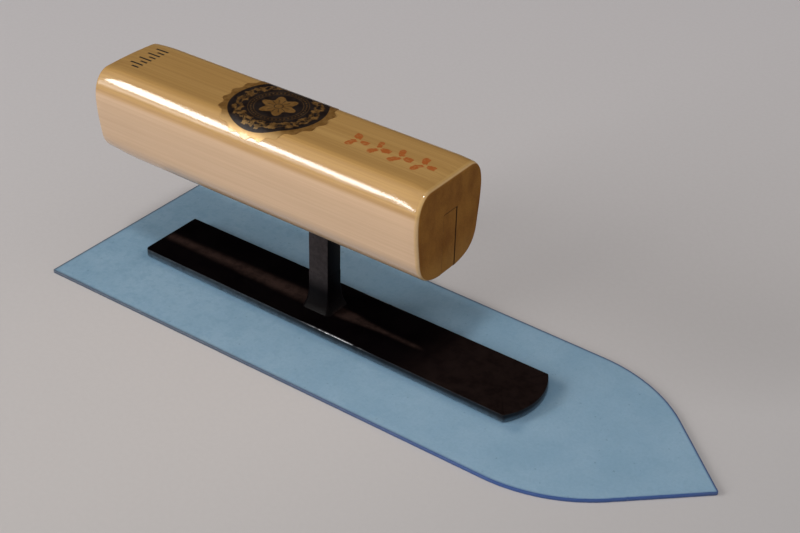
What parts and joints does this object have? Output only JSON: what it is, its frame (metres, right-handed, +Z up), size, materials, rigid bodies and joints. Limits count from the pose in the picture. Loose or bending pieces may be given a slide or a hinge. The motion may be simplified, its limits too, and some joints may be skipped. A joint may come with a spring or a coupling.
{
  "type": "flexible plastering trowel",
  "caption": "Pointed smoothing trowel with a thin translucent plastic blade, a stiffening bar, a bent steel neck and a raised wooden grip.",
  "frame": {"origin": "centre of the blade's underside, halfway between its heel and its point, on the surface that the trowel rests on", "axes": "+X along the blade from its heel to its point, +Z up from the blade to the grip, +Y to the left of a user facing +X"},
  "size_m": [0.18, 0.0588, 0.055],
  "materials": {
    "blue_plastic": "smooth, cloudy and translucent, with fine scratches",
    "adhesive": "cured adhesive film",
    "black_paint": "semi-gloss black paint, worn along the edges",
    "lacquered_wood": "pale straight-grained softwood under clear gloss lacquer",
    "filler_wood": "pale softwood strip under the same lacquer",
    "foil_label": "gold foil printed black, with a scalloped gold rim"
  },
  "bodies": {
    "root": {"blade": "blue_plastic", "bond_layer": "adhesive", "mounting_bar": "black_paint", "neck_tang": "black_paint", "neck_weld": "black_paint", "handle_body": "lacquered_wood", "slot_filler": "filler_wood", "label_seal": "foil_label"}
  },
  "joints": []
}
